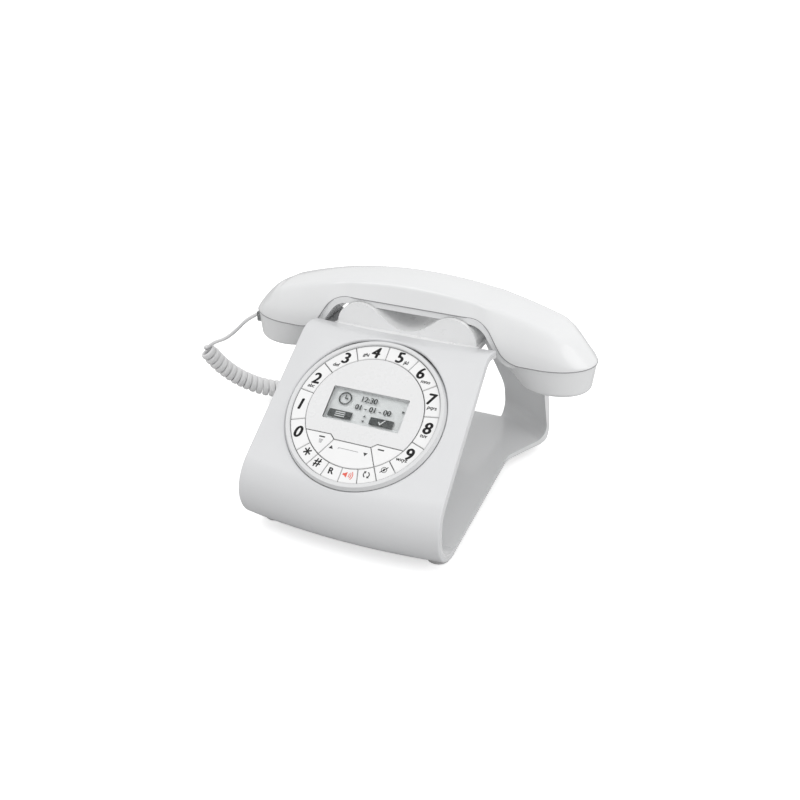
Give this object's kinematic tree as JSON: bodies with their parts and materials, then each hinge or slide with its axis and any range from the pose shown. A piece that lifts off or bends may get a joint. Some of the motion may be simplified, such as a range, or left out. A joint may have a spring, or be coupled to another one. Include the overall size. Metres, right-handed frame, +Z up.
{
  "type": "corded desk telephone",
  "caption": "Retro white corded desk telephone: slanted crowned panel with round keypad and display, humped cradle, arched handset, open loop body and curly cord",
  "frame": {"origin": "middle of the telephone's footprint on the table, the free cord left out", "axes": "+Z up, +X to the user's right along the handset, -Y towards the user"},
  "size_m": [0.2728, 0.2172, 0.1251],
  "materials": {
    "front_shell": "satin white moulding, finely spark-eroded",
    "inner_shell": "glossy white moulding",
    "under_shell": "matt white moulding",
    "handset_shell": "glossy white moulding",
    "cradle_plastic": "satin white moulding",
    "bezel_plastic": "satin white ring",
    "dial_face": "pearl white panel",
    "key_plastic": "white keys with printed characters",
    "lens": "clear window",
    "lcd": "grey reflective display",
    "silicone": "translucent silicone",
    "circuit_board": "green solder mask",
    "speaker": "black cone and steel basket",
    "capsule": "bare capsule",
    "steel": "zinc plated",
    "screw_steel": "zinc plated",
    "rubber": "pale grey rubber",
    "jack_plastic": "dark grey moulding",
    "clear_plug": "clear polycarbonate",
    "cord_sheath": "soft white sheath"
  },
  "bodies": {
    "base": {"front_cover": "front_shell", "inner_cover": "inner_shell", "base_frame": "inner_shell", "bottom_cover": "under_shell", "ballast_plate": "steel", "feet": "rubber", "housing_screws": "screw_steel", "base_microphone": "capsule", "jack_housing": "under_shell", "handset_jack": "jack_plastic", "line_jack": "jack_plastic", "base_plug": "clear_plug", "cradle": "cradle_plastic", "hook_switch": "jack_plastic", "hook_well": "under_shell", "dial_bezel": "bezel_plastic", "display_panel": "dial_face", "display_lens": "lens", "lcd_module": "lcd", "keypad_mat": "silicone", "keypad_pcb": "circuit_board", "main_pcb": "circuit_board", "loudspeaker": "speaker", "board_screws": "screw_steel", "cord_coil": "cord_sheath", "cord_lead": "cord_sheath", "cord_tail": "cord_sheath"},
    "handset": {"handset_top_shell": "handset_shell", "handset_bottom_shell": "handset_shell", "handset_cord_socket": "jack_plastic", "handset_plug": "clear_plug", "mouthpiece_microphone": "capsule", "earpiece_receiver": "speaker", "handset_weight": "steel", "handset_screws": "screw_steel"},
    "hook": {"hook_plunger": "cradle_plastic"},
    "nav": {"nav_rocker": "key_plastic"},
    "key_1": {"key_1": "key_plastic"},
    "key_2": {"key_2": "key_plastic"},
    "key_3": {"key_3": "key_plastic"},
    "key_4": {"key_4": "key_plastic"},
    "key_5": {"key_5": "key_plastic"},
    "key_6": {"key_6": "key_plastic"},
    "key_7": {"key_7": "key_plastic"},
    "key_8": {"key_8": "key_plastic"},
    "key_9": {"key_9": "key_plastic"},
    "key_0": {"key_0": "key_plastic"},
    "key_star": {"key_star": "key_plastic"},
    "key_hash": {"key_hash": "key_plastic"},
    "key_recall": {"key_recall": "key_plastic"},
    "key_speaker": {"key_speaker": "key_plastic"},
    "key_redial": {"key_redial": "key_plastic"},
    "key_mute": {"key_mute": "key_plastic"},
    "softkey_left": {"softkey_left": "key_plastic"},
    "softkey_right": {"softkey_right": "key_plastic"}
  },
  "joints": [
    {"name": "handset_lift", "type": "slide", "parent": "base", "child": "handset", "axis": [0, 0, 1], "range_m": [0, 0.045], "deforming": ["cord_lead", "cord_coil"]},
    {"name": "hook_rise", "type": "slide", "parent": "base", "child": "hook", "axis": [0, 0, 1], "range_m": [0, 0.003]},
    {"name": "nav_rock", "type": "hinge", "parent": "base", "child": "nav", "pos_m": [0, -0.07097, 0.05565], "axis": [0, 0.8202, 0.5721], "range_deg": [-3, 3], "stiffness_Nm_per_rad": 0.05},
    {"name": "key_1_press", "type": "slide", "parent": "base", "child": "key_1", "axis": [0, 0.5721, -0.8202], "range_m": [0, 0.0012], "stiffness_N_per_m": 500},
    {"name": "key_2_press", "type": "slide", "parent": "base", "child": "key_2", "axis": [0, 0.5721, -0.8202], "range_m": [0, 0.0012], "stiffness_N_per_m": 500},
    {"name": "key_3_press", "type": "slide", "parent": "base", "child": "key_3", "axis": [0, 0.5721, -0.8202], "range_m": [0, 0.0012], "stiffness_N_per_m": 500},
    {"name": "key_4_press", "type": "slide", "parent": "base", "child": "key_4", "axis": [0, 0.5721, -0.8202], "range_m": [0, 0.0012], "stiffness_N_per_m": 500},
    {"name": "key_5_press", "type": "slide", "parent": "base", "child": "key_5", "axis": [0, 0.5721, -0.8202], "range_m": [0, 0.0012], "stiffness_N_per_m": 500},
    {"name": "key_6_press", "type": "slide", "parent": "base", "child": "key_6", "axis": [0, 0.5721, -0.8202], "range_m": [0, 0.0012], "stiffness_N_per_m": 500},
    {"name": "key_7_press", "type": "slide", "parent": "base", "child": "key_7", "axis": [0, 0.5721, -0.8202], "range_m": [0, 0.0012], "stiffness_N_per_m": 500},
    {"name": "key_8_press", "type": "slide", "parent": "base", "child": "key_8", "axis": [0, 0.5721, -0.8202], "range_m": [0, 0.0012], "stiffness_N_per_m": 500},
    {"name": "key_9_press", "type": "slide", "parent": "base", "child": "key_9", "axis": [0, 0.5721, -0.8202], "range_m": [0, 0.0012], "stiffness_N_per_m": 500},
    {"name": "key_0_press", "type": "slide", "parent": "base", "child": "key_0", "axis": [0, 0.5721, -0.8202], "range_m": [0, 0.0012], "stiffness_N_per_m": 500},
    {"name": "key_star_press", "type": "slide", "parent": "base", "child": "key_star", "axis": [0, 0.5721, -0.8202], "range_m": [0, 0.0012], "stiffness_N_per_m": 500},
    {"name": "key_hash_press", "type": "slide", "parent": "base", "child": "key_hash", "axis": [0, 0.5721, -0.8202], "range_m": [0, 0.0012], "stiffness_N_per_m": 500},
    {"name": "key_recall_press", "type": "slide", "parent": "base", "child": "key_recall", "axis": [0, 0.5721, -0.8202], "range_m": [0, 0.0012], "stiffness_N_per_m": 500},
    {"name": "key_speaker_press", "type": "slide", "parent": "base", "child": "key_speaker", "axis": [0, 0.5721, -0.8202], "range_m": [0, 0.0012], "stiffness_N_per_m": 500},
    {"name": "key_redial_press", "type": "slide", "parent": "base", "child": "key_redial", "axis": [0, 0.5721, -0.8202], "range_m": [0, 0.0012], "stiffness_N_per_m": 500},
    {"name": "key_mute_press", "type": "slide", "parent": "base", "child": "key_mute", "axis": [0, 0.5721, -0.8202], "range_m": [0, 0.0012], "stiffness_N_per_m": 500},
    {"name": "softkey_left_press", "type": "slide", "parent": "base", "child": "softkey_left", "axis": [0, 0.5721, -0.8202], "range_m": [0, 0.0012], "stiffness_N_per_m": 500},
    {"name": "softkey_right_press", "type": "slide", "parent": "base", "child": "softkey_right", "axis": [0, 0.5721, -0.8202], "range_m": [0, 0.0012], "stiffness_N_per_m": 500}
  ],
  "couplings": [
    {"joint": "hook_rise", "follows": "handset_lift", "ratio": 0.066667}
  ]
}
